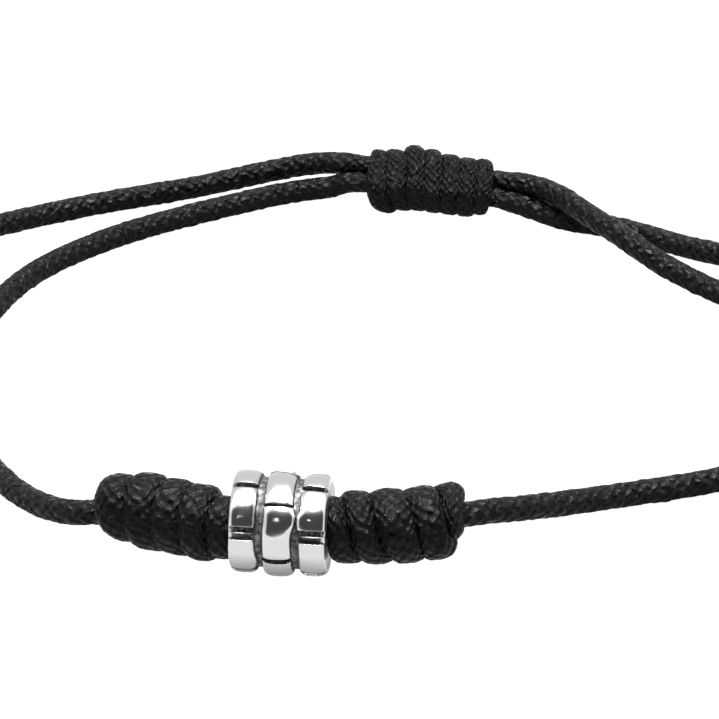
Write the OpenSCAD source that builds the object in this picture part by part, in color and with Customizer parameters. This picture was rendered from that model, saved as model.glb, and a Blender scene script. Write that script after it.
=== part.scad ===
// A string bracelet that lies open on a table. One round braided cord makes the loop:
// it runs through a silver bead at the front, is wound into a coil knot on each side of
// the bead, and its two ends pass side by side through a sliding knot at the back and
// come out as free ends with a stopper knot each. +X is to the wearer's right of the
// bead, +Y runs from the bead to the sliding knot, and the table is at z = 0.

/* [Cord] */
// Diameter of the braided cord
cord_d = 2; // [1.8:0.05:2]
// Diameter of the cord inside the sliding knot, which squeezes it
squeezed_d = 1.7; // [1.6:0.02:1.72]
// Room between two pieces that lie against each other
gap = 0.1; // [0.08:0.01:0.12]

/* [Bead] */
// Width of the bead along the cord
bead_w = 7.5; // [7.2:0.1:7.6]
// Diameter of the two outer rings of the bead
outer_ring_d = 8; // [7.8:0.1:8.2]
// Diameter of the middle ring of the bead
middle_ring_d = 8.3; // [8:0.1:8.3]
// Width of the groove between two rings
groove_w = 0.7; // [0.5:0.05:0.9]
// Depth of that groove below the outer rings
groove_depth = 0.5; // [0.3:0.05:0.8]
// Bricks that the joints divide each ring into
bricks = 6; // [4:1:8]
// Width of the joint between two bricks
joint_w = 0.4; // [0.3:0.05:0.5]
// Depth of the joint between two bricks
joint_depth = 0.45; // [0.3:0.05:0.6]
// Bore that the cord runs through
bore_d = 3.2; // [3:0.1:3.6]

/* [Coil knots] */
// Thickness of the wound cord, which is as wide as its turns are apart
coil_t = 1.95; // [1.7:0.05:2]
// Lean of each turn, its top to the left and its bottom to the right
coil_lean = 0.3; // [0:0.05:0.4]
// Room between two turns, which shrinks on the inner side of a bend
coil_room = 0.36; // [0.34:0.02:0.6]

/* [Sliding knot] */
// Thickness of the wound cord, which is pulled tight
slider_t = 1.1; // [0.8:0.05:1.15]
// Angle by which the two cords are rolled over each other
slider_roll = 40; // [30:1:50]

/* [Stopper knots] */
// Distance from one turn to the next
stopper_pitch = 1.8; // [1.7:0.05:1.9]
// Thickness of the wound cord
stopper_t = 1.5; // [1.3:0.05:1.5]
// Cord that stands out beyond the knot
tail = 1.5; // [1:0.1:2]

/* [Hidden] */

silver = [0.82, 0.82, 0.83];
black = [0.08, 0.08, 0.08];

// Middles of the bead and of the sliding knot, and the directions that they point in
bead_mid = [-9, -30, middle_ring_d / 2];
bead_yaw = -6.5;
slider_mid = [3.5, 29.9, 2.8];
slider_yaw = -14;
slider_axis = [cos(slider_yaw), sin(slider_yaw), 0];
slider_side = [-sin(slider_yaw), cos(slider_yaw), 0];
slider_over = cos(slider_roll) * slider_side + sin(slider_roll) * [0, 0, 1];

// Middles of the two cords in the sliding knot, the upper one behind the lower one
pair_half = squeezed_d / 2 + gap / 4;
upper_mid = slider_mid + pair_half * slider_over;
lower_mid = slider_mid - pair_half * slider_over;

// Route points of the four stretches of cord. Each stretch passes smoothly by its points,
// starts and ends at the first and the last, and is straight inside the sliding knot
straight_step = 4;
function in_slider(middle, way) = [for (k = [0:2]) middle + way * k * straight_step * slider_axis];
function reversed(list) = [for (i = [len(list) - 1:-1:0]) list[i]];

right_route = concat([
    bead_mid, [-4, -30.5, 4.1], [1, -30.3, 4], [5.5, -28.3, 4], [9.5, -26.6, 3.3],
    [14, -23.6, 2], [19, -20.9, 1.2], [24.5, -19.2, 1], [30, -16.6, 1], [34, -12.5, 1],
    [36.5, -7, 1], [36.5, -0.5, 1], [34.5, 5, 1], [31, 10.2, 1], [26.5, 14, 1],
    [23, 16.8, 1.8], [20, 19.2, 3.1], [17, 22.6, 3.5], [14.5, 26.8, 3.5]],
    reversed(in_slider(upper_mid, 1)));
left_route = concat([
    bead_mid, [-13.8, -29.9, 3.7], [-18, -27.9, 3.6], [-22, -27, 3.5], [-25.5, -26.9, 2.9],
    [-28.8, -23.2, 1.6], [-32, -18.5, 1], [-34.8, -12.5, 1], [-36.2, -7, 1], [-36.5, -1, 1], [-36, 5, 1],
    [-34.5, 10.5, 1], [-32, 15.8, 1], [-28, 20.2, 1], [-23.5, 23.8, 1], [-18.5, 26.8, 1],
    [-13.5, 29.3, 1], [-9, 31.6, 1], [-5, 31.5, 1.4]],
    reversed(in_slider(lower_mid, -1)));
free_left_route = concat(in_slider(upper_mid, -1), [
    [-7, 34.4, 2.5], [-12, 34, 1.6], [-17, 32.4, 1.1], [-22, 30.8, 1], [-27, 29, 1],
    [-32, 26.3, 1.2], [-36, 22.9, 1.8], [-39.5, 20.3, 2.8], [-43, 17.5, 2.8]]);
free_right_route = concat(in_slider(lower_mid, 1), [
    [15, 25.8, 1], [19, 25, 1], [23, 22.8, 1], [27, 19.5, 1.3], [31, 15.8, 2.5],
    [35, 12.8, 2.8], [39, 10, 2.8]]);

// Length of each free end from the middle of the sliding knot to the stopper knot
free_left_len = 46.5;
free_right_len = 32;

// Fineness of the curves and of the sweeps
curve_steps = 12;
ring_step = 4;
cord_sides = 8;
coil_rings = 16;
nudge = 2;

function unit(v) = v / norm(v);

// A route's curve is a cubic B-spline whose ends are held at the end points
function pull(points, i) =
    let (last = len(points) - 1)
    i < 0 ? 2 * points[0] - points[1] :
    i > last ? 2 * points[last] - points[last - 1] : points[i];
function on_curve(points, t) =
    let (i = min(floor(t), len(points) - 2), u = t - i)
    (pow(1 - u, 3) * pull(points, i - 1)
        + (3 * pow(u, 3) - 6 * pow(u, 2) + 4) * pull(points, i)
        + (-3 * pow(u, 3) + 3 * pow(u, 2) + 3 * u + 1) * pull(points, i + 1)
        + pow(u, 3) * pull(points, i + 2)) / 6;

// A track is a route measured along its length: one table of [length, place] for each axis
function track(points) =
    let (curve = [for (k = [0:curve_steps * (len(points) - 1)]) on_curve(points, k / curve_steps)],
         run = [for (i = 0, s = 0; i < len(curve); i = i + 1,
                     s = s + (i < len(curve) ? norm(curve[i] - curve[i - 1]) : 0)) s])
    [for (axis = [0:2]) [for (i = [0:len(curve) - 1]) [run[i], curve[i][axis]]]];
function track_len(track) = track[0][len(track[0]) - 1][0];
function place(track, s) = [for (axis = [0:2]) lookup(s, track[axis])];
function ahead(track, s) = unit(place(track, s + nudge) - place(track, s - nudge));
function side(track, s) = unit(cross([0, 0, 1], ahead(track, s)));
function lift(track, s) = cross(ahead(track, s), side(track, s));

right_track = track(right_route);
left_track = track(left_route);
free_left_track = track(free_left_route);
free_right_track = track(free_right_route);

// Points of one ring of a swept cord, which are as far out as keeps the cord's thickness
function ring(middle, across, over, w, t, sides) =
    let (fat = 1 / sqrt(cos(180 / sides)))
    [for (k = [0:sides - 1])
        let (a = 360 * (k + 0.5) / sides)
        middle + fat * (w / 2 * cos(a) * across + t / 2 * sin(a) * over)];

// Solid swept through rings that all have the same number of points
module swept(rings) {
    sides = len(rings[0]);
    last = len(rings) - 1;
    points = [for (r = rings) for (p = r) p];
    walls = [for (i = [0:last - 1]) for (k = [0:sides - 1])
        let (a = i * sides + k, b = i * sides + (k + 1) % sides)
        each [[a, a + sides, b + sides], [a, b + sides, b]]];
    caps = [[for (k = [0:sides - 1]) k], [for (k = [sides - 1:-1:0]) last * sides + k]];
    polyhedron(points = points, faces = concat(walls, caps), convexity = 10);
}

// Diameter of the cord at a distance from the middle of the sliding knot, which is squeezed
// in the knot and a little beyond each of its ends
slider_half = 6;
function cord_d_at(from_slider) = from_slider < slider_half + ring_step / 2 ? squeezed_d : cord_d;

// Stretch of cord from one length of a track to another, round but for the squeezed part.
// slider_at is the length at which the track passes the middle of the sliding knot
module cord_along(track, from, to, slider_at) {
    count = ceil((to - from) / ring_step);
    swept([for (i = [0:count])
        let (s = from + (to - from) * i / count, d = cord_d_at(abs(s - slider_at)))
        ring(place(track, s), side(track, s), lift(track, s), d, d, cord_sides)]);
}

// Cord wound round a cord. A winding is a table of [turn, length along the track, share of
// the full thickness]. The wound cord is as wide as its turns are apart, but for some room
function share(winding, turn) = lookup(turn, [for (row = winding) [row[0], row[2]]]);
function along(winding, turn) = lookup(turn, [for (row = winding) [row[0], row[1]]]);
function width(winding, turn, room) = along(winding, turn + 0.5) - along(winding, turn - 0.5) - room;
function wound_ring(track, winding, turn, t, lean, room) =
    let (s = along(winding, turn) + lean * sin(360 * turn),
         out = cos(360 * turn) * side(track, s) + sin(360 * turn) * lift(track, s),
         thick = t * share(winding, turn))
    [place(track, s) + (cord_d / 2 + gap + thick / 2) * out, out, width(winding, turn, room), thick];
module wound_rings(rings) {
    swept([for (i = [1:len(rings) - 2])
        let (way = rings[i + 1][0] - rings[i - 1][0], here = rings[i],
             across = unit(cross(here[1], way)), over = unit(cross(way, across)))
        ring(here[0], across, over, here[2], here[3], cord_sides)]);
}
function turns_of(winding) =
    let (first = winding[0][0], last = winding[len(winding) - 1][0],
         count = ceil((last - first) * coil_rings))
    [for (i = [-0.5, each [0:count], count + 0.5]) first + (last - first) * i / count];
module wound(track, winding, t, lean, room) {
    wound_rings([for (turn = turns_of(winding)) wound_ring(track, winding, turn, t, lean, room)]);
}

// Turns are counted from the near side on the left of the bead, from the far side on the
// right of it and in the stopper knots, and from the back in the sliding knot, whose lengths
// run from its middle. A winding grows out of the cord at its first row and is tucked in at
// its last
left_winding = [[-0.8, 4.5, 0.5], [0, 5.2, 1], [1, 7.4, 1], [2, 9.9, 1], [2.75, 11.6, 0.9],
                [3.3, 13, 0.95], [3.75, 13.8, 0.65], [4.2, 14.3, 0.35]];
right_winding = [[0.1, 4.3, 0.6], [0.4, 4.6, 0.9], [0.75, 5.05, 1], [4.25, 13.6, 1], [4.5, 14, 0.6]];
slider_winding = [[-0.3, -5.5, 0.7], [0.05, -5.1, 0.75], [1, -3.6, 0.95], [2, -1.8, 1.15],
                  [3, 0, 1.1], [6, 4.9, 0.8], [6.6, 5.4, 0.7]];
stopper_turns = 2;
stopper_len = stopper_turns * stopper_pitch;

// Profile of one ring of the bead, between its floor and its crown
ring_steps = 10;
ring_round = 2.5;
function ring_profile(middle, w, d) =
    let (foot = outer_ring_d / 2 - groove_depth, rise = d / 2 - foot)
    [for (k = [0:ring_steps])
        let (u = -cos(180 * k / ring_steps))
        [foot + rise * pow(1 - pow(abs(u), ring_round), 1 / ring_round), middle + u * w / 2]];

// The joints of the middle ring stand half a brick off those of the outer rings
module bead() {
    ring_w = (bead_w - 2 * groove_w) / 3;
    ring_pitch = ring_w + groove_w;
    outline = concat([[bore_d / 2, -bead_w / 2]],
        [for (k = [-1:1])
            each ring_profile(k * ring_pitch, ring_w, k == 0 ? middle_ring_d : outer_ring_d)],
        [[bore_d / 2, bead_w / 2]]);
    first_joint = 253;
    color(silver)
        translate(bead_mid) rotate([0, 90, bead_yaw])
        difference() {
            rotate_extrude($fn = 96) polygon(outline);
            for (k = [-1:1]) for (b = [0:bricks - 1]) {
                crown = k == 0 ? middle_ring_d / 2 : outer_ring_d / 2;
                turn = first_joint + (b + (k == 0 ? 0.5 : 0)) * 360 / bricks;
                rotate([0, 0, turn])
                    translate([crown - joint_depth, -joint_w / 2, k * ring_pitch - ring_w / 2 - gap])
                    cube([2 * joint_depth, joint_w, ring_w + 2 * gap]);
            }
        }
}

module coil_knot_left() {
    color(black) wound(left_track, left_winding, coil_t, coil_lean, coil_room);
}

module coil_knot_right() {
    color(black) wound(right_track, right_winding, coil_t, -coil_lean, coil_room);
}

// The wound cord of the sliding knot lies flat over both cords, and crosses from one to the
// other within the share 1 / cross_over of each quarter turn
cross_over = 2.6;
function slider_ring(turn) =
    let (c = cos(360 * turn), s = sin(360 * turn),
         near_side = cross(slider_axis, slider_over),
         thick = slider_t * share(slider_winding, turn),
         reach = squeezed_d / 2 + gap + thick / 2,
         shift = pair_half * max(-1, min(1, cross_over * c)))
    [slider_mid + along(slider_winding, turn) * slider_axis
        + (reach * c + shift) * slider_over + reach * s * near_side,
     c * slider_over + s * near_side, width(slider_winding, turn, gap), thick];
module sliding_knot() {
    color(black) wound_rings([for (turn = turns_of(slider_winding)) slider_ring(turn)]);
}

module loop_cord_left() {
    end = track_len(left_track) - gap / 2;
    color(black) cord_along(left_track, gap, end, track_len(left_track));
}

module loop_cord_right() {
    end = track_len(right_track) - gap / 2;
    color(black) cord_along(right_track, gap, end, track_len(right_track));
}

module free_end_left() {
    color(black) cord_along(free_left_track, gap / 2, free_left_len + stopper_len + tail, 0);
}

module free_end_right() {
    color(black) cord_along(free_right_track, gap / 2, free_right_len + stopper_len + tail, 0);
}

// A stopper knot tapers over its first and its last stretch
taper = 0.4;
module stopper(track, at) {
    winding = [[-0.2, at, 0.6], [0.1, at + taper, 1],
               [stopper_turns - 0.1, at + stopper_len - taper, 1],
               [stopper_turns + 0.2, at + stopper_len, 0.6]];
    color(black) wound(track, winding, stopper_t, 0, 2 * gap);
}

module stopper_knot_left() {
    stopper(free_left_track, free_left_len);
}

module stopper_knot_right() {
    stopper(free_right_track, free_right_len);
}

bead();
coil_knot_left();
coil_knot_right();
sliding_knot();
loop_cord_left();
loop_cord_right();
free_end_left();
free_end_right();
stopper_knot_left();
stopper_knot_right();
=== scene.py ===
"""A string bracelet of black braided cord with a silver bead, lying open on a pale table.

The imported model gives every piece's place. The braided cords, the wound knots and the cast
bead are modelled here where their plain solids lie, and stand for them.
"""
import math

import bmesh
import bpy
import numpy as np
from mathutils import Matrix, Vector, noise


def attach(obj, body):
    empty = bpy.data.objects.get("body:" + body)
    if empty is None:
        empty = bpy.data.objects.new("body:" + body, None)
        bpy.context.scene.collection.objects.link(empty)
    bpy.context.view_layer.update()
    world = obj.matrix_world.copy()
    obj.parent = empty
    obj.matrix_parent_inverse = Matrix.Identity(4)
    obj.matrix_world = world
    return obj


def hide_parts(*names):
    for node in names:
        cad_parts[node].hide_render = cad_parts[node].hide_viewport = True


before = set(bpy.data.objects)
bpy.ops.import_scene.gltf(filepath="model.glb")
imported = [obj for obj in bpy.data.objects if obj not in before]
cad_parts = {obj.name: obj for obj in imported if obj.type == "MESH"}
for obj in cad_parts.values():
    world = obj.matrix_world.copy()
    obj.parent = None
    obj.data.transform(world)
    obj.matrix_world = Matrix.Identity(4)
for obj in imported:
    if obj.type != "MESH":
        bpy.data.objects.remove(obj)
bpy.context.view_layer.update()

bl_info = {
    "name": "String bracelet",
    "version": (1, 0, 0),
    "blender": (4, 5, 0),
    "location": "View3D > Sidebar > Bracelet",
    "description": "Braided cord, wound knots and a cast silver bead for a string bracelet",
    "category": "Object",
}

BODY = "root"
UP = np.array([0.0, 0.0, 1.0])
MM = 0.001

# The bead and the sliding knot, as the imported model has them
BEAD_MID = np.array([-0.009, -0.030, 0.00415])
BEAD_YAW = math.radians(-6.5)
SLIDER_MID = np.array([0.0035, 0.0299, 0.0028])
SLIDER_YAW = math.radians(-14)
SLIDER_ROLL = math.radians(40)
SLIDER_AXIS = np.array([math.cos(SLIDER_YAW), math.sin(SLIDER_YAW), 0.0])
SLIDER_OVER = math.cos(SLIDER_ROLL) * np.cross(UP, SLIDER_AXIS) + math.sin(SLIDER_ROLL) * UP
SLIDER_NEAR = np.cross(SLIDER_AXIS, SLIDER_OVER)
SLIDER_HALF = 0.006

# Width of the cord, loose and inside the sliding knot, and the gap between pieces that meet
CORD_D = 0.002
SQUEEZED_D = 0.0017
GAP = 0.0001

# Middles of the two cords inside the sliding knot, and the points of their straight stretches
PAIR_HALF = SQUEEZED_D / 2 + GAP / 4
UPPER_MID = SLIDER_MID + PAIR_HALF * SLIDER_OVER
LOWER_MID = SLIDER_MID - PAIR_HALF * SLIDER_OVER
STRAIGHT_STEP = 0.004
STRAIGHT_POINTS = 3

# Lengths of the free ends up to their stopper knots, of these, and of the tails past them
FREE_LEFT_LEN = 0.0465
FREE_RIGHT_LEN = 0.032
STOPPER_LEN = 0.0036
STOPPER_TURNS = 2
TAIL = 0.0015

# Length over which the cord widens where it leaves the sliding knot
WIDENS_OVER = 0.0025

# Length over which a sealed end is rounded, and the share of its section that is lost
SEALED_LEN = 0.0005
SEALED_LOSS = 0.9


def in_slider(middle, way):
    """The straight stretch of a route inside the sliding knot."""
    return [middle + way * k * STRAIGHT_STEP * SLIDER_AXIS for k in range(STRAIGHT_POINTS)]


# Routes of the four stretches of cord, whose points are those of the plain solids
RIGHT_ROUTE = [
    BEAD_MID, (-0.004, -0.0305, 0.0041), (0.001, -0.0303, 0.004), (0.0055, -0.0283, 0.004),
    (0.0095, -0.0266, 0.0033), (0.014, -0.0236, 0.002), (0.019, -0.0209, 0.0012),
    (0.0245, -0.0192, 0.001), (0.030, -0.0166, 0.001), (0.034, -0.0125, 0.001),
    (0.0365, -0.007, 0.001), (0.0365, -0.0005, 0.001), (0.0345, 0.005, 0.001),
    (0.031, 0.0102, 0.001), (0.0265, 0.014, 0.001), (0.023, 0.0168, 0.0018),
    (0.020, 0.0192, 0.0031), (0.017, 0.0226, 0.0035), (0.0145, 0.0268, 0.0035),
    *reversed(in_slider(UPPER_MID, 1))]
LEFT_ROUTE = [
    BEAD_MID, (-0.0138, -0.0299, 0.0037), (-0.018, -0.0279, 0.0036), (-0.022, -0.027, 0.0035),
    (-0.0255, -0.0269, 0.0029), (-0.0288, -0.0232, 0.0016), (-0.032, -0.0185, 0.001),
    (-0.0348, -0.0125, 0.001), (-0.0362, -0.007, 0.001), (-0.0365, -0.001, 0.001),
    (-0.036, 0.005, 0.001), (-0.0345, 0.0105, 0.001), (-0.032, 0.0158, 0.001),
    (-0.028, 0.0202, 0.001), (-0.0235, 0.0238, 0.001), (-0.0185, 0.0268, 0.001),
    (-0.0135, 0.0293, 0.001), (-0.009, 0.0316, 0.001), (-0.005, 0.0315, 0.0014),
    *reversed(in_slider(LOWER_MID, -1))]
FREE_LEFT_ROUTE = [
    *in_slider(UPPER_MID, -1), (-0.007, 0.0344, 0.0025), (-0.012, 0.034, 0.0016),
    (-0.017, 0.0324, 0.0011), (-0.022, 0.0308, 0.001), (-0.027, 0.029, 0.001),
    (-0.032, 0.0263, 0.0012), (-0.036, 0.0229, 0.0018), (-0.0395, 0.0203, 0.0028),
    (-0.043, 0.0175, 0.0028)]
FREE_RIGHT_ROUTE = [
    *in_slider(LOWER_MID, 1), (0.015, 0.0258, 0.001), (0.019, 0.025, 0.001),
    (0.023, 0.0228, 0.001), (0.027, 0.0195, 0.0013), (0.031, 0.0158, 0.0025),
    (0.035, 0.0128, 0.0028), (0.039, 0.010, 0.0028)]

# A route's curve: its points between two given ones, and how far ahead it is looked along
ROUTE_STEPS = 60
FRAME_NUDGE = 0.002

# A winding's rows, one to a turn: three lengths in millimetres along what it is wound on, at
# places a quarter turn apart, and the shares of its thickness there. The places are
# underneath, in front and on top left of the bead, and the other way round right of it and on
# the sliding knot, whose lengths are from its middle
LEFT_TURNS = [
    (4.5, 4.45, 4.5, 0.85, 0.95, 0.6),
    (5.85, 6.25, 6.4, 1, 1, 0.97),
    (7.85, 8.6, 8.75, 0.94, 1, 1),
    (10.3, 11.0, 10.85, 0.95, 1, 1.08),
    (12.1, 13.35, 13.2, 0.68, 0.95, 0.98)]
RIGHT_TURNS = [
    (3.75, 4.35, 5.15, 0.63, 0.95, 0.95),
    (5.6, 6.0, 7.35, 0.9, 1, 0.97),
    (8.3, 8.3, 9.6, 0.97, 1, 1),
    (11.05, 11.5, 12.05, 0.93, 1, 1.05),
    (13.6, 12.5, 13.6, 0.87, 0.85, 0.7)]
SLIDER_TURNS = [
    (-5.3, -4.8, -3.85, 0.6, 0.95, 1.45),
    (-3.65, -2.75, -2.3, 0.78, 0.95, 1.1),
    (-1.85, -1.05, -0.9, 1.3, 1, 1),
    (-0.25, 0.55, 0.5, 1.13, 1, 1),
    (1.4, 2.15, 2.0, 0.88, 0.95, 1),
    (3.15, 3.75, 3.5, 0.75, 0.95, 1),
    (4.6, 5.2, 4.85, 0.8, 0.85, 0.75)]

# Turns from a row's first place to each of its three places
PLACES = np.array([0, 0.25, 0.5])

# How each is wound: degrees to the first place, turns before it and after the last, turns over
# which the two ends get thinner, how much a side with no neighbour spreads, how loose the
# turns are, and whether the bead holds the first one
TAPERS = (0.18, 0.18)
LEFT_WINDING = {"first": -60, "tails": (0.2, 0.35), "spread": 0.45, "held": True}
RIGHT_WINDING = {"first": 60, "tails": (0.15, -0.05), "tapers": (0.18, 0.14), "spread": 0.3,
                 "loose": 0.15, "held": True}
SLIDER_WINDING = {"first": 20, "tails": (0.2, 0.15), "spread": 0.6, "loose": 0.2}
STOPPER_WINDING = {"first": 0, "tails": (0.2, 0.3)}

# How sharply a turn of the sliding knot crosses over from one of its two cords to the other
CROSS_OVER = 2.6

# Share of a winding's thickness at its ends, turns within which it comes free of a neighbour,
# and share of its looseness underneath
END_SHARE = 0.3
FREED_TURNS = 0.08
LOOSE_BELOW = 0.4

# The cord's strands and their angle to it, and each piece's seed, stitch size and strands
STRANDS = 12
BRAID_ANGLE = math.radians(45)
WEAVES = {
    "braid_loop_right": (11, 1.0, STRANDS),
    "braid_loop_left": (12, 1.0, STRANDS),
    "braid_free_left": (13, 1.0, STRANDS),
    "braid_free_right": (14, 1.0, STRANDS),
    "wound_stopper_left": (23, 0.8, STRANDS),
    "wound_stopper_right": (24, 0.8, STRANDS),
    "wound_coil_left": (31, 0.67, 20),
    "wound_coil_right": (32, 0.67, 20),
    "wound_slider": (33, 0.6, 18)}

# How much the stitches differ in height, and the number of rows after which they repeat
TALL_SPREAD = 0.2
TALL_ROWS = 199

# Waves in which the braid turns to and fro: how far, in turns, and length along the cord
SWAY_WAVES = [(0.05, 0.0043), (0.09, 0.011)]

# How far a strand strays from its even place, as a share of the distance between strands, and
# the waves that it strays in: times round the cord, and length along it
SLACK = 0.07
SLACK_WAVES = [(1, 0.0031), (-2, 0.0023), (3, 0.0019), (-4, 0.0027), (5, 0.0014)]

# Width of a strand as a share of the distance between strands, and the weave's mean height
STRAND_W = 1.05
MEAN_RELIEF = 0.75

BRAID_MAP = "Braid"
TABLE_TOP = (0.00001 * UP, UP)
GRID_HALF = 0.5
WELD = 1e-7


def rgb(code):
    """Linear colour of an sRGB hex code."""
    levels = [int(code[k:k + 2], 16) / 255 for k in (0, 2, 4)]
    return tuple(c / 12.92 if c <= 0.04045 else ((c + 0.055) / 1.055) ** 2.4 for c in levels)


def length_prop(name, description, default):
    """A size that a user may change."""
    return bpy.props.FloatProperty(
        name=name, description=description, default=default, min=0.0, precision=5, unit="LENGTH")


def colour_prop(name, description, code):
    """A colour that a user may change."""
    return bpy.props.FloatVectorProperty(
        name=name, description=description, default=rgb(code), min=0.0, max=1.0, subtype="COLOR")


def light_prop(name, description, default):
    """A brightness or a power that a user may change."""
    return bpy.props.FloatProperty(name=name, description=description, default=default, min=0.0)


class BraceletCord(bpy.types.PropertyGroup):
    """Braid and colour of the cord."""

    stitch: length_prop("Stitch", "Length along the cord from one stitch to the next", 0.00117)
    relief: length_prop("Relief", "Depth of the dents between two stitches", 0.0001)
    yarn: length_prop("Yarn", "Distance between the yarns that make up one strand", 0.00016)
    ring_step: length_prop("Ring step", "Distance between two rings of the swept cord", 0.0001)
    sides: bpy.props.IntProperty(
        name="Sides", description="Sides of the swept cord", default=48, min=16, max=64)
    colour: colour_prop("Colour", "Dyed polyester under the wax", "030303")


class BraceletKnots(bpy.types.PropertyGroup):
    """Wound cord of the knots."""

    coil_t: length_prop("Coil thickness", "Thickness of the cord wound beside the bead", 0.00195)
    slider_t: length_prop("Slider thickness", "Thickness of the cord pulled tight", 0.0011)
    stopper_t: length_prop("Stopper thickness", "Thickness of the cord of an end knot", 0.0015)
    pressed: bpy.props.FloatProperty(
        name="Pressed", description="Roundness left in a turn that its neighbours press flat",
        default=0.68, min=0.4, max=1.0)
    crowded: bpy.props.FloatProperty(
        name="Crowded", description="Width of a turn as a share of the room between its neighbours",
        default=1.3, min=0.8, max=1.5)


class BraceletBead(bpy.types.PropertyGroup):
    """Cast bead of three rings of bricks."""

    width: length_prop("Width", "Width of the bead along the cord", 0.0075)
    outer_d: length_prop("Outer rings", "Diameter of the two outer rings", 0.008)
    middle_d: length_prop("Middle ring", "Diameter of the middle ring", 0.0083)
    middle_w: length_prop("Middle width", "Width of the middle ring", 0.0023)
    groove_w: length_prop("Groove", "Width of the groove between two rings", 0.0005)
    groove_depth: length_prop("Groove depth", "Depth of that groove", 0.0005)
    joint_w: length_prop("Joint", "Width of the joint between two bricks", 0.00055)
    wide_joint_w: length_prop("Wide joint", "Width of the joints that have a seam in them", 0.0011)
    seam_w: length_prop("Seam", "Width of the ridge in the middle of a wide joint", 0.0001)
    joint_depth: length_prop("Joint depth", "Depth of that joint", 0.0005)
    bore_d: length_prop("Bore", "Bore that the cord runs through", 0.0032)
    edge: length_prop("Worn edge", "Rounding of a brick's ends", 0.00022)
    bricks: bpy.props.IntProperty(
        name="Bricks", description="Bricks in each ring", default=6, min=4, max=8)
    silver: colour_prop("Silver", "Polished silver", "cecece")
    oxide: colour_prop("Oxide", "Blackened silver in the grooves", "434344")


class BraceletStage(bpy.types.PropertyGroup):
    """Camera, light and table."""

    elevation: bpy.props.FloatProperty(
        name="Elevation", description="Angle of the camera above the table",
        default=math.radians(30), subtype="ANGLE")
    distance: length_prop("Distance", "From the camera to the point that it looks at", 0.342)
    lens: bpy.props.FloatProperty(
        name="Lens", description="Focal length for a 36 mm sensor", default=201.3, min=1.0)
    table: colour_prop("Table", "White acrylic table that is lit from below", "f4f4f4")
    matt: colour_prop("Matt face", "Face of that table with its light off", "303030")
    glow: light_prop("Glow", "Light that comes up through the table", 1.12)
    pale: light_prop("Pale walls", "Brightness of the studio round the table", 0.95)
    dark: light_prop("Dark side", "Brightness of the studio behind the camera", 0.07)
    overhead: light_prop("Overhead", "Brightness of the soft light overhead", 3.0)
    key: light_prop("Key lamp", "Power of the lamp above the camera, in watts", 2.0)
    softbox: light_prop("Softbox", "Power of the wide lamp overhead, in watts", 4.4)
    small: light_prop("Small lamp", "Power of the small lamp on the left, in watts", 0.02)


GROUPS = {
    "bracelet_cord": BraceletCord,
    "bracelet_knots": BraceletKnots,
    "bracelet_bead": BraceletBead,
    "bracelet_stage": BraceletStage,
}


def unit(vectors):
    """Vectors of length 1 with the same directions."""
    return vectors / np.linalg.norm(vectors, axis=-1, keepdims=True)


def eased(share):
    """Eases a share from 0 to 1, and holds it there."""
    u = np.clip(share, 0, 1)
    return u ** 2 * (3 - 2 * u)


def run_of(line):
    """Length along a line at each of its points."""
    return np.concatenate([[0.0], np.cumsum(np.linalg.norm(np.diff(line, axis=0), axis=1))])


def spline(points):
    """Places along a cubic B-spline whose ends are held at the first and the last point."""
    p = np.array([tuple(point) for point in points])
    spans = len(p) - 1
    p = np.vstack([2 * p[0] - p[1], p, 2 * p[-1] - p[-2]])
    t = np.linspace(0, spans, spans * ROUTE_STEPS + 1)
    i = np.minimum(t.astype(int), spans - 1)
    u = (t - i)[:, None]
    return ((1 - u) ** 3 * p[i] + (3 * u ** 3 - 6 * u ** 2 + 4) * p[i + 1]
            + (-3 * u ** 3 + 3 * u ** 2 + 3 * u + 1) * p[i + 2] + u ** 3 * p[i + 3]) / 6


def smooth(at, knots, values):
    """Values between knots, on a curve that runs smoothly through them."""
    slopes = np.gradient(values, knots)
    k = np.clip(np.searchsorted(knots, at) - 1, 0, len(knots) - 2)
    span = knots[k + 1] - knots[k]
    u = (at - knots[k]) / span
    return ((1 + 2 * u) * (1 - u) ** 2 * values[k] + u * (1 - u) ** 2 * span * slopes[k]
            + u ** 2 * (3 - 2 * u) * values[k + 1] - u ** 2 * (1 - u) * span * slopes[k + 1])


class Track:
    """A route measured along its length."""

    def __init__(self, points):
        self.curve = spline(points)
        self.run = run_of(self.curve)
        self.length = self.run[-1]

    def place(self, s):
        """Places at lengths along the route."""
        return np.stack([np.interp(s, self.run, self.curve[:, k]) for k in range(3)], axis=-1)

    def side_and_lift(self, s):
        """Directions across the route, level and upwards."""
        ahead = unit(self.place(s + FRAME_NUDGE) - self.place(s - FRAME_NUDGE))
        side = unit(np.cross(UP, ahead))
        return side, np.cross(ahead, side)


class Rings:
    """Rings that a cord is swept through: middles, directions and thickness, and the width and
    the roundness of either half. The less round an oval is, the flatter are its sides."""

    def __init__(self, line, across, over, widths, thick, roundness):
        self.line, self.across, self.over, self.thick = line, across, over, thick
        self.widths, self.roundness = np.array(widths), np.array(roundness)
        self.run = run_of(line)

    def spots(self, ring, turn):
        """Places on the rings and the directions outwards there, by turn round the ring."""
        c, s = np.cos(2 * math.pi * turn), np.sin(2 * math.pi * turn)
        half = (c < 0).astype(int)
        wide, thick = self.widths[half, ring][:, None] / 2, self.thick[ring][:, None] / 2
        power = self.roundness[half, ring]
        across = (np.sign(c) * np.abs(c) ** power)[:, None] * self.across[ring]
        over = (np.sign(s) * np.abs(s) ** power)[:, None] * self.over[ring]
        return self.line[ring] + wide * across + thick * over, unit(across / wide + over / thick)


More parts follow.
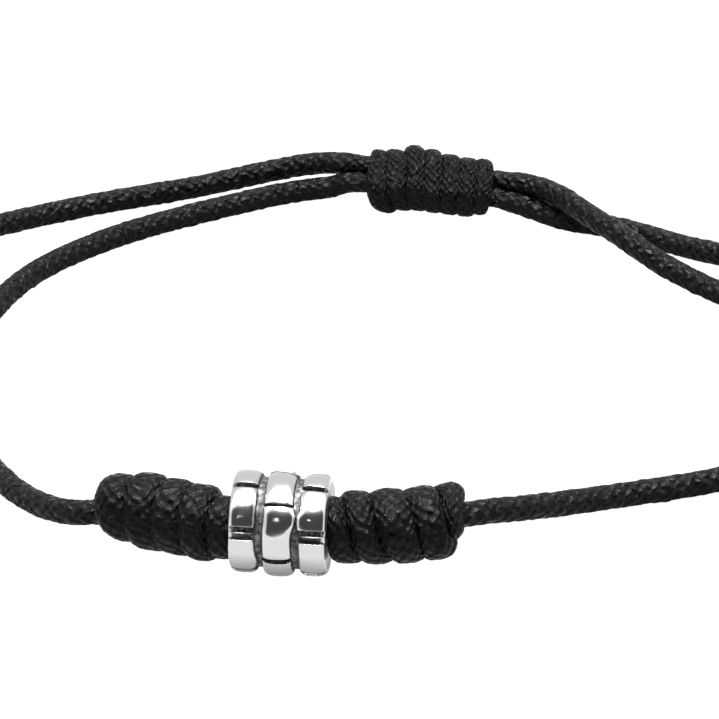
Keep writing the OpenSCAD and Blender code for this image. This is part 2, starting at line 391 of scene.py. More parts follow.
class Weave:
    """A braid in which each strand passes over one and under one, as WEAVES has it for a
    piece. A place on the cord is given by its turn round the cord and its run along it."""

    def __init__(self, look, name):
        seed, scale, self.strands = WEAVES[name]
        self.sides = look.sides + 2 * (self.strands - STRANDS)
        self.stitch, self.depth = look.stitch * scale, look.relief * scale
        chance = np.random.default_rng(seed)
        self.tall = chance.normal(0.0, TALL_SPREAD, (TALL_ROWS, self.strands))
        self.sway = chance.uniform(0.0, 2 * math.pi, len(SWAY_WAVES))
        self.slack = chance.uniform(0.0, 2 * math.pi, (len(SLACK_WAVES), 2))

    def crossing(self, turn, run):
        """The two counts across the strands of either way, whole in a strand's middle."""
        sway = sum(reach * np.sin(run / length + shift)
                   for (reach, length), shift in zip(SWAY_WAVES, self.sway))
        round_it = self.strands / 2 * (turn + sway)
        along_it = run / self.stitch
        p, q = round_it - along_it, round_it + along_it
        for (times, length), (one, other) in zip(SLACK_WAVES, self.slack):
            wave = 2 * math.pi * (times * turn + run / length)
            p, q = p + SLACK * np.sin(wave + one), q + SLACK * np.sin(wave + other)
        return p, q

    def relief(self, turn, run):
        """Height of the braid's surface, 0 in the dents and about 1 on the stitches."""
        p, q = self.crossing(turn, run)
        i, j = np.rint(p), np.rint(q)
        tall = self.tall[(i - j).astype(int) % TALL_ROWS, (i + j).astype(int) % self.strands]
        one_way = np.cos(math.pi * (q + i)) + bulge(p - i)
        other_way = -np.cos(math.pi * (p + j)) + bulge(q - j)
        return np.maximum(one_way, other_way) / 2 * (1 + tall)


def bulge(off):
    """Round top of a strand, off its middle by a share of the distance between strands."""
    return np.sqrt(np.clip(1 - (2 * off / STRAND_W) ** 2, 0, 1))


def new_piece(name, bm, material):
    """An object for a finished bmesh, smoothly shaded."""
    for face in bm.faces:
        face.smooth = True
    mesh = bpy.data.meshes.new(name)
    bm.to_mesh(mesh)
    bm.free()
    piece = bpy.data.objects.new(name, mesh)
    bpy.context.scene.collection.objects.link(piece)
    mesh.materials.append(material)
    return piece


def dressed(piece, node):
    """Puts a piece on the body in the place of its plain solid."""
    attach(piece, BODY)
    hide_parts(node)
    return piece


def braided_tube(name, rings, look, wound=False, planes=(TABLE_TOP,)):
    """Braided cord: a grid is rolled up through the rings, raised by the weave, pressed flat
    on planes that are given by a point and a direction, and welded."""
    weave = Weave(look, name)
    last, sides = len(rings.line) - 1, weave.sides
    bm = bmesh.new()
    bm.loops.layers.uv.new(BRAID_MAP)
    bmesh.ops.create_grid(bm, x_segments=last, y_segments=sides, size=GRID_HALF, calc_uvs=True)
    grid = np.array([tuple(vert.co) for vert in bm.verts]) + GRID_HALF
    ring = np.rint(grid[:, 0] * last).astype(int)
    turn = np.rint(grid[:, 1] * sides) / sides
    rise = (weave.relief(turn, rings.run[ring]) - MEAN_RELIEF) * weave.depth
    places, outwards = rings.spots(ring, turn)
    places += rise[:, None] * outwards
    for point, away in planes:
        places += np.maximum((point - places) @ away, 0)[:, None] * away
    for vert, place in zip(bm.verts, places):
        vert.co = place
    seam = [vert for vert, t in zip(bm.verts, turn) if t in (0, 1)]
    bmesh.ops.remove_doubles(bm, verts=seam, dist=WELD)
    bmesh.ops.holes_fill(bm, edges=[edge for edge in bm.edges if edge.is_boundary], sides=0)
    bmesh.ops.recalc_face_normals(bm, faces=bm.faces)
    piece = new_piece(name, bm, cord_material(look, wound))
    layer = piece.data.uv_layers[BRAID_MAP].data
    flat = np.zeros(len(layer) * 2, np.float32)
    layer.foreach_get("uv", flat)
    u, v = flat.reshape(-1, 2).T
    counts = weave.crossing(v, np.interp(u * last, np.arange(last + 1), rings.run))
    layer.foreach_set("uv", np.stack(counts, axis=-1).astype(np.float32).ravel())
    return piece


def fill(tree, made, inputs):
    """Gives inputs of a node values or links."""
    for key, value in dict(inputs).items():
        if isinstance(value, bpy.types.NodeSocket):
            tree.links.new(value, made.inputs[key])
        else:
            made.inputs[key].default_value = value


def node(tree, kind, inputs=(), **settings):
    """Adds a shader node with its settings, and gives its inputs values or links."""
    made = tree.nodes.new("ShaderNode" + kind)
    for key, value in settings.items():
        setattr(made, key, value)
    fill(tree, made, inputs)
    return made


def maths(tree, operation, *values):
    """Result of a sum on values or links."""
    return node(tree, "Math", enumerate(values), operation=operation).outputs[0]


def parts(tree, vector):
    """The three numbers of a vector."""
    return node(tree, "SeparateXYZ", {0: vector}).outputs


def ramp(tree, value, limits, results=(0.0, 1.0), **settings):
    """Goes from one result to the other as a value goes from limit to limit."""
    return node(tree, "MapRange", enumerate((value, *limits, *results)), **settings).outputs[0]


def blend(tree, share, none, full):
    """A number between two, by share."""
    return node(tree, "Mix", {0: share, 2: none, 3: full}).outputs[0]


def tint(tree, share, none, full):
    """A colour between two, by share."""
    inputs = {0: share, 6: (*none, 1.0), 7: (*full, 1.0)}
    return node(tree, "Mix", inputs, data_type="RGBA").outputs[2]


def speckle(tree, where, scale, detail, roughness):
    """Noise from 0 to 1."""
    inputs = {"Vector": where, "Scale": scale, "Detail": detail, "Roughness": roughness}
    return node(tree, "TexNoise", inputs).outputs[0]


def bump(tree, height, distance, strength=1.0):
    """A surface's direction as a height bends it."""
    inputs = {"Strength": strength, "Distance": distance, "Height": height}
    return node(tree, "Bump", inputs).outputs[0]


def new_material(name):
    """A material with its node tree and the surface shader in it."""
    made = bpy.data.materials.new(name)
    made.use_nodes = True
    return made, made.node_tree, made.node_tree.nodes["Principled BSDF"]


# Scale, detail and roughness of each noise, how often the yarns' is read along a stitch, and
# how far apart for single stitches
YARN_NOISE = (1.0, 2.0, 0.6)
WAX_NOISE = (900.0, 4.0, 0.7)
MOTTLE_NOISE = (2600.0, 4.0, 0.65)
GRAIN_NOISE = (900.0, 3.0, 0.5)
YARN_ALONG = 1.8
YARN_APART = 40.0

# Heights of a strand's round top, its yarns and its lean in the cord's bump, and its depth
TOP_HEIGHT = 0.28
YARN_HEIGHT = 1.0
LEAN_HEIGHT = 2.4
YARN_DEPTH = 0.0001

# Strength of the cord's sheen and its lowest roughness, braided and wound tight
BRAID_SHINE = (0.135, 0.12)
WOUND_SHINE = (0.11, 0.1)

# Wax gets dull between these levels of its noise, to which each stitch adds a share
WAX_PATCHES = (0.45, 0.85)
WAX_DULL = 0.4
WAX_BY_STITCH = 0.3

# A stitch gets dull between these squared distances from its middle and, as painted shade in
# its dents, darker between the next two; and the tones of single ones
DULL_LIMITS = (0.06, 0.25)
DENT_DULL = 0.3
PAINTED_SHADE_LIMITS = (0.06, 0.26)
DENT_PAINTED_SHADE = 0.3
STITCH_TONES = (0.4, 1.5)
BLACK = (0.0, 0.0, 0.0)


def cord_bump(tree, look, off, across, along, chance):
    """Bump of the strands' round tops, their yarns and each stitch's lean."""
    round_top = maths(tree, "ADD", *(
        maths(tree, "COSINE", maths(tree, "MULTIPLY", part, 2 * math.pi)) for part in off))
    leans = parts(tree, chance.outputs["Color"])
    lean = maths(tree, "ADD", *(maths(tree, "MULTIPLY", part, maths(tree, "SUBTRACT", by, 0.5))
                                for part, by in zip(off, leans[1:])))
    strand_w = math.pi * CORD_D / (STRANDS / 2) * math.cos(BRAID_ANGLE)
    yarn_at = node(tree, "CombineXYZ", {
        0: maths(tree, "MULTIPLY", across, strand_w / look.yarn),
        1: maths(tree, "MULTIPLY", along, YARN_ALONG),
        2: maths(tree, "MULTIPLY", chance.outputs[0], YARN_APART)})
    yarn = speckle(tree, yarn_at.outputs[0], *YARN_NOISE)
    height = maths(tree, "MULTIPLY", round_top, TOP_HEIGHT)
    for part, by in ((yarn, YARN_HEIGHT), (lean, LEAN_HEIGHT)):
        height = maths(tree, "MULTIPLY_ADD", part, by, height)
    return bump(tree, height, YARN_DEPTH)


def cord_material(look, wound):
    """Spun polyester, braided and drawn through wax: near black, with soft glints on the
    stitches where the yarns lie flat to the light, and dull dents with painted shade in them.
    Wound tight it has less sheen and sharper glints."""
    name = "Braided polyester cord, waxed black" + (", wound tight" if wound else "")
    if name in bpy.data.materials:
        return bpy.data.materials[name]
    sheen, gloss = WOUND_SHINE if wound else BRAID_SHINE
    material, tree, surface = new_material(name)
    p, q, _ = parts(tree, node(tree, "UVMap", uv_map=BRAID_MAP).outputs[0])
    i, j = maths(tree, "ROUND", p), maths(tree, "ROUND", q)
    both = maths(tree, "ADD", i, j)
    other_way = maths(tree, "FLOORED_MODULO", both, 2.0)
    across, along = blend(tree, other_way, p, q), blend(tree, other_way, q, p)
    stitch = node(tree, "CombineXYZ", {
        0: maths(tree, "SUBTRACT", i, j), 1: maths(tree, "FLOORED_MODULO", both, float(STRANDS))})
    chance = node(tree, "TexWhiteNoise", {0: stitch.outputs[0]}, noise_dimensions="2D")
    off = [maths(tree, "SUBTRACT", a, b) for a, b in ((p, i), (q, j))]
    dent = maths(tree, "ADD", *(maths(tree, "POWER", part, 2.0) for part in off))
    wax = speckle(tree, node(tree, "TexCoord").outputs["Object"], *WAX_NOISE)
    patch = maths(tree, "MULTIPLY_ADD", chance.outputs[0], WAX_BY_STITCH, wax)
    waxed = ramp(tree, patch, WAX_PATCHES, (gloss, WAX_DULL))
    dented = ramp(tree, dent, DULL_LIMITS, (0.0, DENT_DULL))
    tone = ramp(tree, chance.outputs[0], (0.0, 1.0), STITCH_TONES)
    # Painted shade: the base colour darkens towards the dents between stitches
    painted_shade = ramp(tree, dent, PAINTED_SHADE_LIMITS, (1.0, DENT_PAINTED_SHADE))
    level = maths(tree, "MULTIPLY", maths(tree, "MULTIPLY", tone, painted_shade), 0.5)
    fill(tree, surface, {
        "Base Color": tint(tree, level, BLACK, [2 * c for c in look.colour]),
        "Specular IOR Level": sheen,
        "Roughness": maths(tree, "ADD", waxed, dented),
        "Normal": cord_bump(tree, look, off, across, along, chance)})
    return material


# Where the silver's polish begins and is full: heights above the grooves' floor, which the
# mottling moves, and depths from the bead's ends, which keep a share of it below that floor
POLISH_HEIGHTS = (0.0002, 0.00036)
MOTTLE_REACH = 0.0003
END_DEPTHS = (0.0004, 0.0002)
RIM_DEPTHS = (0.00015, 0.00005)
RIM_POLISH = 0.6

# The oxide is worn off in part between these levels of the mottling
WORN_PATCHES = (0.45, 0.75)
WORN_OFF = 0.45

# Roughness of the oxide and of the polished silver, and the bump of its grain
SILVER_ROUGHNESS = (0.6, 0.15)
GRAIN_DEPTH = 0.00002
GRAIN_STRENGTH = 0.25


def silver_material(look):
    """Sterling silver, cast, polished by tumbling and blackened: the crowns are mirrors with
    faint waves, and the grooves and joints keep a mottled dark oxide."""
    material, tree, surface = new_material("Cast silver, polished, oxidised in the grooves")
    foot = foot_of(look)
    where = node(tree, "TexCoord").outputs["Object"]
    on_bead = node(tree, "Mapping", {
        "Vector": where, "Location": tuple(BEAD_MID), "Rotation": (0, 0, BEAD_YAW)},
        vector_type="TEXTURE").outputs[0]
    off_axis = node(tree, "VectorMath", {0: on_bead, 1: (0, 1, 1)}, operation="MULTIPLY")
    radius = node(tree, "VectorMath", {0: off_axis.outputs[0]}, operation="LENGTH").outputs["Value"]
    mottle = speckle(tree, where, *MOTTLE_NOISE)
    rubbed = maths(tree, "MULTIPLY_ADD", mottle, MOTTLE_REACH,
                   maths(tree, "SUBTRACT", radius, MOTTLE_REACH / 2))
    crowns = ramp(tree, rubbed, [foot + height for height in POLISH_HEIGHTS],
                  interpolation_type="SMOOTHSTEP")
    from_mid = maths(tree, "ABSOLUTE", parts(tree, on_bead)[0])
    ends = ramp(tree, from_mid, [look.width / 2 - depth for depth in END_DEPTHS])
    rim = ramp(tree, radius, [foot - depth for depth in RIM_DEPTHS], (RIM_POLISH, 1.0))
    polished = maths(tree, "MAXIMUM", crowns, maths(tree, "MULTIPLY", ends, rim))
    worn = ramp(tree, mottle, WORN_PATCHES, (0.0, WORN_OFF))
    clean = maths(tree, "MAXIMUM", polished, worn)
    fill(tree, surface, {
        "Metallic": 1.0,
        "Base Color": tint(tree, clean, look.oxide, look.silver),
        "Roughness": ramp(tree, clean, (0.0, 1.0), SILVER_ROUGHNESS),
        "Normal": bump(tree, speckle(tree, where, *GRAIN_NOISE), GRAIN_DEPTH, GRAIN_STRENGTH)})
    return material


# The table, the share of its glow that a painted contact shadow leaves close under what lies
# on it, and the length of a ray at which that painted shadow ends
TABLE_HALF = 2.0
TABLE_ROUGHNESS = 0.6
PAINTED_SHADOW_GLOW = 0.1
PAINTED_SHADOW_ENDS_AT = 0.005


def table_material(look):
    """Opal acrylic of a light table: matt white, with some light coming up through it. A painted
    contact shadow dims that light for rays that reach the table a short way from what lies on
    it, which only the mirrored table shows."""
    material, tree, surface = new_material("Opal acrylic, lit from below")
    path = node(tree, "LightPath").outputs
    # Painted contact shadow: rays other than the camera's that reach the table after a short way
    # find its glow dimmed
    out_of_painted_shadow = ramp(tree, path["Ray Length"], (0.0, PAINTED_SHADOW_ENDS_AT), (PAINTED_SHADOW_GLOW, 1.0))
    lit = maths(tree, "MAXIMUM", out_of_painted_shadow, path["Is Camera Ray"])
    fill(tree, surface, {
        "Base Color": (*look.matt, 1.0),
        "Roughness": TABLE_ROUGHNESS,
        "Emission Color": (*look.table, 1.0),
        "Emission Strength": maths(tree, "MULTIPLY", lit, look.glow)})
    return material


# Where the studio's parts fade: angles from level behind the camera up and over, and how far
# a direction points to the sides
DARK_FOOT = (0.0, math.radians(3))
DARK_TOP = (math.radians(62), math.radians(79))
OVERHEAD_BACK = (math.radians(103), math.radians(121))
SIDES = (0.75, 0.95)
OUT = (1.0, 0.0)


def studio_world(look):
    """Pale studio with a soft light overhead, and with a dark side behind the camera that the
    bead mirrors. Straight views past the table see the pale part alone."""
    world = bpy.data.worlds.new("Studio")
    bpy.context.scene.world = world
    world.use_nodes = True
    tree = world.node_tree
    x, y, z = parts(tree, node(tree, "TexCoord").outputs["Generated"])
    height = maths(tree, "ARCTAN2", z, maths(tree, "MULTIPLY", y, -1.0))
    within = ramp(tree, maths(tree, "ABSOLUTE", x), SIDES, OUT)
    dark = maths(tree, "SUBTRACT", 1.0, node(tree, "LightPath").outputs["Is Camera Ray"])
    for share in (ramp(tree, height, DARK_TOP, OUT), ramp(tree, height, DARK_FOOT), within):
        dark = maths(tree, "MULTIPLY", dark, share)
    before_back = ramp(tree, height, OVERHEAD_BACK, OUT, interpolation_type="SMOOTHSTEP")
    lit = maths(tree, "MULTIPLY", before_back, within)
    level = blend(tree, dark, blend(tree, lit, look.pale, look.overhead), look.dark)
    fill(tree, tree.nodes["Background"], {0: level})


# The camera's sensor in millimetres, the nearest and the farthest that it sees, and its aim
SENSOR_W = 36.0
NEAREST = 0.01
FARTHEST = 20.0
LOOK_AT = Vector((-0.003, 0.0025, 0.0))

# Size of each lamp, its place and the point that it shines at
KEY_LAMP = ((0.2, 0.1), (0.0, -0.17, 0.49), (0.0, -0.01, 0.0))
SOFTBOX = ((0.3, 0.12), (0.0, 0.09, 0.5), (0.0, 0.0, 0.0))
SMALL_LAMP = ((0.012, 0.012), (-0.14, -0.44, 0.34), (-0.009, -0.03, 0.004))


def place_camera(look):
    """Camera at the photograph's angle, level from side to side."""
    lens = bpy.data.cameras.new("Camera")
    lens.lens, lens.sensor_width = look.lens, SENSOR_W
    lens.clip_start, lens.clip_end = NEAREST, FARTHEST
    eye = bpy.data.objects.new("Camera", lens)
    bpy.context.scene.collection.objects.link(eye)
    back = Vector((0.0, -math.cos(look.elevation), math.sin(look.elevation)))
    eye.location = LOOK_AT + look.distance * back
    eye.rotation_euler = back.to_track_quat("Z", "Y").to_euler()
    bpy.context.scene.camera = eye


def hang_lamp(name, power, size, place, aim):
    """A rectangular lamp that shines from a place towards another."""
    lamp = bpy.data.lights.new(name, "AREA")
    lamp.shape, lamp.energy = "RECTANGLE", power
    lamp.size, lamp.size_y = size
    hung = bpy.data.objects.new(name, lamp)
    hung.location = place
    hung.rotation_euler = (Vector(place) - Vector(aim)).to_track_quat("Z", "Y").to_euler()
    bpy.context.scene.collection.objects.link(hung)


class BRACELET_OT_stage(bpy.types.Operator):
    """Adds the camera, the lit table, the lamps and the studio"""

    bl_idname = "bracelet.stage"
    bl_label = "Stage"
    bl_options = {"REGISTER", "UNDO"}

    def execute(self, context):
        look = context.scene.bracelet_stage
        context.scene.view_settings.view_transform = "Standard"
        place_camera(look)
        bm = bmesh.new()
        bmesh.ops.create_grid(bm, x_segments=1, y_segments=1, size=TABLE_HALF)
        new_piece("table", bm, table_material(look))
        hang_lamp("Key lamp", look.key, *KEY_LAMP)
        hang_lamp("Softbox", look.softbox, *SOFTBOX)
        hang_lamp("Small lamp", look.small, *SMALL_LAMP)
        studio_world(look)
        return {"FINISHED"}


def cord_piece(name, solid, track, start, end, look, squeezed_at, sealed=False):
    """A stretch of round cord, thinner where the sliding knot squeezes it. A sealed end is
    rounded, as if it was melted."""
    s = np.linspace(start, end, int(round((end - start) / look.ring_step)) + 1)
    side, lift = track.side_and_lift(s)
    loose = eased((np.abs(s - squeezed_at) - SLIDER_HALF) / WIDENS_OVER)
    d = SQUEEZED_D + (CORD_D - SQUEEZED_D) * loose
    if sealed:
        into = np.clip((s - (end - SEALED_LEN)) / SEALED_LEN, 0, 1)
        d = d * np.sqrt(1.0 - SEALED_LOSS * into ** 2)
    rings = Rings(track.place(s), side, lift, (d, d), d, np.ones((2, len(s))))
    return dressed(braided_tube(name, rings, look), solid), rings


class BRACELET_OT_cords(bpy.types.Operator):
    """Adds the two halves of the loop and the two free ends, braided"""

    bl_idname = "bracelet.cords"
    bl_label = "Cords"
    bl_options = {"REGISTER", "UNDO"}

    def execute(self, context):
        look, knots = context.scene.bracelet_cord, context.scene.bracelet_knots
        loops = [("right", RIGHT_ROUTE, UPPER_MID, 1), ("left", LEFT_ROUTE, LOWER_MID, -1)]
        for hand, route, middle, way in loops:
            track = Track(route)
            piece, rings = cord_piece("braid_loop_" + hand, "loop_cord_" + hand, track, GAP,
                                      track.length - GAP / 2, look, track.length)
        ends = [("left", FREE_LEFT_ROUTE, FREE_LEFT_LEN, UPPER_MID, -1),
                ("right", FREE_RIGHT_ROUTE, FREE_RIGHT_LEN, LOWER_MID, 1)]
        for hand, route, length, middle, way in ends:
            track = Track(route)
            piece, rings = cord_piece("braid_free_" + hand, "free_end_" + hand, track, GAP / 2,
                                      length + STOPPER_LEN + TAIL, look, 0.0, sealed=True)
            stopper = stopper_piece(hand, track, length, knots, look)
        return {"FINISHED"}


class Winding:
    """A cord wound into turns, from rows like LEFT_TURNS and settings like LEFT_WINDING."""

    def __init__(self, rows, first, tails, tapers=TAPERS, spread=0.0, loose=0.0, held=False):
        table = np.array(rows)
        places = np.arange(-1, len(table) + 1)[:, None] + first / 360 + PLACES
        self.knots = places.ravel()
        lengths = table[:, :3] * MM
        self.lengths = np.concatenate([
            2 * lengths[0] - lengths[1], *lengths, 2 * lengths[-1] - lengths[-2]])
        self.shares = np.concatenate([table[0, 3:], *table[:, 3:], table[-1, 3:]])
        self.start, self.end = self.knots[3] - tails[0], self.knots[-4] + tails[1]
        self.tapers, self.spread, self.loose, self.held = tapers, spread, loose, held

    def turns(self, look, across):
        """Turns at which the rings lie, for a cord wound to a given width across."""
        step = look.ring_step / (math.pi * across)
        return np.linspace(self.start, self.end, int(math.ceil((self.end - self.start) / step)) + 1)

    def along(self, turn):
        """Length along what it is wound on."""
        return smooth(turn, self.knots, self.lengths)

    def alone(self, turn, way):
        """1 where there is no turn before, for way -1, or after, for way 1, and 0 elsewhere."""
        past = turn - self.end + self.tapers[1] if way > 0 else self.start + self.tapers[0] - turn
        return eased((past + 1) / FREED_TURNS) * (way > 0 or not self.held)

    def full(self, turn):
        """1 along the winding, and less towards its two ends."""
        u = np.clip(np.minimum((turn - self.start) / self.tapers[0],
                               (self.end - turn) / self.tapers[1]), 0, 1)
        return END_SHARE + (1 - END_SHARE) * u * (2 - u)

    def share(self, turn):
        """Share of the cord's thickness."""
        return smooth(turn, self.knots, self.shares) * self.full(turn)


def wound_rings(middle, out, ahead, winding, turn, thick, knots):
    """Rings of a cord that lies flat to the directions out. Its neighbours along ahead press
    it, and a side without a neighbour stays round."""
    along = np.gradient(middle, axis=0)
    across = unit(np.cross(out, along))
    over = unit(np.cross(along, across))
    turned = np.sum(across * ahead, axis=1)
    first = 1 if turned.mean() > 0 else -1
    easy = winding.loose * (LOOSE_BELOW + (1 - LOOSE_BELOW) * np.clip(out[:, 2], 0, 1))
    widths, roundness = [], []
    for way in (first, -first):
        alone = winding.alone(turn, way)
        room = np.abs((winding.along(turn + way) - winding.along(turn)) * turned)
        room = room * (knots.crowded - easy) * winding.full(turn)
        widths.append(room + (thick * (1 + winding.spread) - room) * alone)
        roundness.append(knots.pressed + easy + (1 - knots.pressed - easy) * alone)
    return Rings(middle, across, over, widths, thick, roundness)


def wound_on(track, winding, thickness, knots, look):
    """Rings of a cord that is wound round a track."""
    turn = winding.turns(look, CORD_D + thickness)
    angle = 2 * math.pi * turn[:, None]
    s = winding.along(turn)
    side, lift = track.side_and_lift(s)
    out = np.cos(angle) * side + np.sin(angle) * lift
    thick, full = thickness * winding.share(turn), winding.full(turn)
    reach = CORD_D / 2 * full + GAP / 2 + thick / 2
    return wound_rings(track.place(s) + reach[:, None] * out, out, np.cross(side, lift),
                       winding, turn, thick, knots)


def stopper_piece(hand, track, at, knots, look):
    """Overhand knot at the end of a free end, wound twice."""
    pitch = STOPPER_LEN / STOPPER_TURNS / MM
    rows = [[*(at / MM + pitch * (turn + PLACES + PLACES[1])), 1, 1, 1]
            for turn in range(STOPPER_TURNS)]
    rings = wound_on(track, Winding(rows, **STOPPER_WINDING), knots.stopper_t, knots, look)
    piece = braided_tube("wound_stopper_" + hand, rings, look, wound=True)
    return dressed(piece, "stopper_knot_" + hand)


class BRACELET_OT_coil_knots(bpy.types.Operator):
    """Adds the cord wound into a coil knot on each side of the bead"""

    bl_idname = "bracelet.coil_knots"
    bl_label = "Coil knots"
    bl_options = {"REGISTER", "UNDO"}

    def execute(self, context):
        look, knots = context.scene.bracelet_cord, context.scene.bracelet_knots
        from_bead = np.array([math.cos(BEAD_YAW), math.sin(BEAD_YAW), 0.0])
        reach = context.scene.bracelet_bead.width / 2 + GAP / 2
        coils = [("left", LEFT_ROUTE, -from_bead, Winding(LEFT_TURNS, **LEFT_WINDING)),
                 ("right", RIGHT_ROUTE, from_bead, Winding(RIGHT_TURNS, **RIGHT_WINDING))]
        for hand, route, away, winding in coils:
            rings = wound_on(Track(route), winding, knots.coil_t, knots, look)
            bead_side = (BEAD_MID + reach * away, away)
            piece = braided_tube("wound_coil_" + hand, rings, look, wound=True,
                                 planes=(TABLE_TOP, bead_side))
            dressed(piece, "coil_knot_" + hand)
        return {"FINISHED"}


class BRACELET_OT_sliding_knot(bpy.types.Operator):
    """Adds the cord wound seven times round the two cords at the back"""

    bl_idname = "bracelet.sliding_knot"
    bl_label = "Sliding knot"
    bl_options = {"REGISTER", "UNDO"}

    def execute(self, context):
        look, knots = context.scene.bracelet_cord, context.scene.bracelet_knots
        winding = Winding(SLIDER_TURNS, **SLIDER_WINDING)
        turn = winding.turns(look, CORD_D + knots.slider_t + PAIR_HALF)
        c, s = np.cos(2 * math.pi * turn)[:, None], np.sin(2 * math.pi * turn)[:, None]
        thick, full = knots.slider_t * winding.share(turn), winding.full(turn)
        reach = (SQUEEZED_D / 2 * full + GAP / 2 + thick / 2)[:, None]
        shift = PAIR_HALF * np.clip(CROSS_OVER * c, -1, 1)
        middle = (SLIDER_MID + winding.along(turn)[:, None] * SLIDER_AXIS
                  + (reach * c + shift) * SLIDER_OVER + reach * s * SLIDER_NEAR)
        rings = wound_rings(middle, c * SLIDER_OVER + s * SLIDER_NEAR, SLIDER_AXIS,
                            winding, turn, thick, knots)
        dressed(braided_tube("wound_slider", rings, look, wound=True), "sliding_knot")
        return {"FINISHED"}


# Angle of the outer rings' wide joints, and degrees that joints of the middle ring, counted
# from the first, are off their even places
BEAD_JOINT = math.radians(17)
MIDDLE_SHIFTS = {0: 4.5, 5: -3}

# Steps over a brick's crown, a radian along the brick, a turn round the core and in a bevel, and
# how square the crown is, from 2 for an oval upwards
CROWN_STEPS = 16
BRICK_STEPS = 18
CORE_STEPS = 96
BEVEL_STEPS = 5
CROWN_ROUND = 2.7

# How much lower a brick is at its ends, and how late it gets lower
PILLOW = 0.009
PILLOW_POWER = 4

# Lumps where a brick's metal ran into the groove: ring, how far along the bead it grows, and
# the angles of its middle and that it spreads over
LUMPS = [(0, 0.0003, 36, 14), (1, -0.00025, 34, 12), (-1, 0.0002, -24, 12)]

# Waves of the cast surface: how close they are and how high, and the seed that places them
CAST_WAVES = [(500.0, 0.00005), (2600.0, 0.000012)]
CAST_SEED = 3


def foot_of(look):
    """Radius of the floor of the grooves, on which the bricks stand."""
    return look.outer_d / 2 - look.groove_depth


def at_angle(along, radius, angle):
    """Point of the bead in its own frame: its axis is x, and the angle runs from the near
    side upwards."""
    return Vector((along, -radius * math.cos(angle), radius * math.sin(angle)))


def brick_section(look, middle, wide, crown):
    """Points of a brick's section, as places along the bead and radii."""
    foot = foot_of(look)
    sunk = foot - look.groove_depth / 2
    section = [(middle + wide / 2, sunk)]
    for k in range(CROWN_STEPS + 1):
        u = math.cos(math.pi * k / CROWN_STEPS)
        rise = (1 - abs(u) ** CROWN_ROUND) ** (1 / CROWN_ROUND)
        section.append((middle + u * wide / 2, foot + (crown - foot) * rise))
    return [*section, (middle - wide / 2, sunk)]


def add_brick(bm, look, ring, middle, wide, crown, start, angle):
    """One brick: the section of a ring is spun through its angle, its top swells a little, and
    its ends are bevelled."""
    foot = foot_of(look)
    older = set(bm.verts)
    first = bm.faces.new([bm.verts.new(at_angle(*place, start))
                          for place in brick_section(look, middle, wide, crown)])
    spun = bmesh.ops.spin(
        bm, geom=[first, *first.edges, *first.verts], cent=(0, 0, 0), axis=(-1, 0, 0),
        angle=angle, steps=max(2, round(BRICK_STEPS * angle)), use_duplicate=False)
    last = next(part for part in spun["geom_last"] if isinstance(part, bmesh.types.BMFace))
    for vert in set(bm.verts) - older:
        turn = math.atan2(vert.co.z, -vert.co.y)
        from_mid = (turn - start - angle / 2 + math.pi) % (2 * math.pi) - math.pi
        vert.co.yz *= 1 - PILLOW * abs(2 * from_mid / angle) ** PILLOW_POWER
        for lump_ring, growth, lump_at, spread in LUMPS:
            towards = (vert.co.x - middle) * growth
            if lump_ring == ring and towards > 0:
                off = (math.degrees(turn) - lump_at) / spread
                vert.co.x += growth * math.exp(-off * off) * abs(vert.co.x - middle) / (wide / 2)
    buried = foot - look.groove_depth / 4
    rims = [edge for face in (first, last) for edge in face.edges
            if min(Vector(vert.co[1:]).length for vert in edge.verts) > buried]
    bmesh.ops.bevel(
        bm, geom=rims, offset=min(look.edge, angle * foot / 3), offset_type="OFFSET",
        segments=BEVEL_STEPS, profile=0.5, affect="EDGES", material=-1, clamp_overlap=True)


def add_ring(bm, look, ring, middle, wide, crown):
    """A ring of bricks. An outer one has a wide joint with a seam in it. The middle one has a
    narrow joint, and its bricks are half a brick on."""
    brick_angle = 2 * math.pi / look.bricks
    first = BEAD_JOINT + (0.0 if ring else brick_angle / 2)
    joints = [first + k * brick_angle for k in range(look.bricks + 1)]
    half_gaps = [look.joint_w / 2 / crown] * (look.bricks + 1)
    if ring:
        half_gaps[0] = half_gaps[-1] = look.wide_joint_w / 2 / crown
        seam, seam_top = look.seam_w / crown, crown - look.joint_depth / 3
        add_brick(bm, look, ring, middle, wide, seam_top, first - seam / 2, seam)
    else:
        half_gaps[0] = half_gaps[-1] = look.joint_w / 4 / crown
        joints = [at + math.radians(MIDDLE_SHIFTS.get(k % look.bricks, 0))
                  for k, at in enumerate(joints)]
    for k in range(look.bricks):
        start = joints[k] + half_gaps[k]
        add_brick(bm, look, ring, middle, wide, crown, start,
                  joints[k + 1] - half_gaps[k + 1] - start)


def add_core(bm, look, rings):
    """The tube under the bricks, whose outside is the floor of the grooves and of the joints."""
    foot, half = foot_of(look), look.width / 2
    bore, lip = look.bore_d / 2, look.groove_depth / 5
    outline = [(-half, foot - lip)]
    for middle, wide, crown in rings:
        bed, slope = crown - look.joint_depth, wide / 10
        outline += [(middle - wide / 2 + slope / 2, foot), (middle - wide / 2 + 2 * slope, bed),
                    (middle + wide / 2 - 2 * slope, bed), (middle + wide / 2 - slope / 2, foot)]
    outline += [(half, foot - lip), (half, bore + lip), (half - lip, bore), (lip - half, bore),
                (-half, bore + lip)]
    verts = [bm.verts.new(at_angle(*place, 0.0)) for place in outline]
    edges = [bm.edges.new((verts[k], verts[k - 1])) for k in range(len(verts))]
    bmesh.ops.spin(bm, geom=verts + edges, cent=(0, 0, 0), axis=(-1, 0, 0), angle=2 * math.pi,
                   steps=CORE_STEPS, use_merge=True, use_duplicate=False)


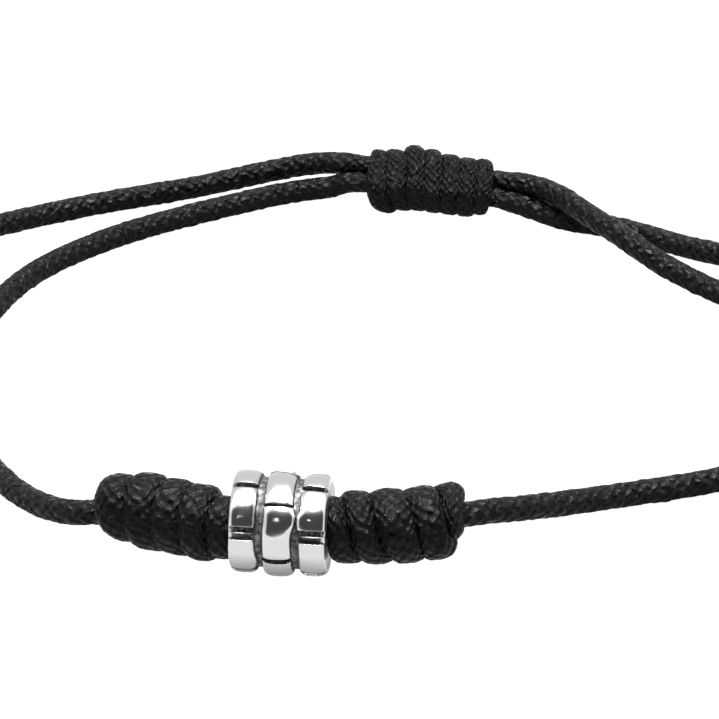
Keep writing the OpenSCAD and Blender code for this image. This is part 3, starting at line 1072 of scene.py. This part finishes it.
class BRACELET_OT_bead(bpy.types.Operator):
    """Adds the silver bead: three rings of worn bricks on a grooved core"""

    bl_idname = "bracelet.bead"
    bl_label = "Bead"
    bl_options = {"REGISTER", "UNDO"}

    def execute(self, context):
        look = context.scene.bracelet_bead
        outer_w = (look.width - look.middle_w - 2 * look.groove_w) / 2
        outer_at = (look.width - outer_w) / 2
        rings = [(-outer_at, outer_w, look.outer_d / 2), (0.0, look.middle_w, look.middle_d / 2),
                 (outer_at, outer_w, look.outer_d / 2)]
        bm = bmesh.new()
        add_core(bm, look, rings)
        for ring, sizes in zip((-1, 0, 1), rings):
            add_ring(bm, look, ring, *sizes)
        bmesh.ops.recalc_face_normals(bm, faces=bm.faces)
        noise.seed_set(CAST_SEED)
        for vert in bm.verts:
            for scale, height in CAST_WAVES:
                vert.co += height * noise.noise_vector(vert.co * scale)
        place = Matrix.Translation(BEAD_MID) @ Matrix.Rotation(BEAD_YAW, 4, "Z")
        bmesh.ops.transform(bm, matrix=place, verts=bm.verts)
        dressed(new_piece("cast_bead", bm, silver_material(look)), "bead")
        return {"FINISHED"}


class BRACELET_PT_panel(bpy.types.Panel):
    """Sizes, colours and pieces of the bracelet"""

    bl_label = "Bracelet"
    bl_idname = "BRACELET_PT_panel"
    bl_space_type = "VIEW_3D"
    bl_region_type = "UI"
    bl_category = "Bracelet"

    def draw(self, context):
        for name in GROUPS:
            box = self.layout.box()
            group = getattr(context.scene, name)
            for prop in group.bl_rna.properties:
                if prop.identifier in group.__annotations__:
                    box.prop(group, prop.identifier)
        for maker in MAKERS:
            self.layout.operator(maker.bl_idname)


MAKERS = (BRACELET_OT_stage, BRACELET_OT_cords, BRACELET_OT_coil_knots,
          BRACELET_OT_sliding_knot, BRACELET_OT_bead)


def register():
    for cls in (*GROUPS.values(), *MAKERS, BRACELET_PT_panel):
        bpy.utils.register_class(cls)
    for name, group in GROUPS.items():
        setattr(bpy.types.Scene, name, bpy.props.PointerProperty(type=group))


def unregister():
    for name in GROUPS:
        delattr(bpy.types.Scene, name)
    for cls in reversed((*GROUPS.values(), *MAKERS, BRACELET_PT_panel)):
        bpy.utils.unregister_class(cls)


def main():
    """Makes every piece."""
    register()
    bpy.ops.bracelet.stage()
    bpy.ops.bracelet.cords()
    bpy.ops.bracelet.coil_knots()
    bpy.ops.bracelet.sliding_knot()
    bpy.ops.bracelet.bead()


if __name__ == "__main__":
    main()
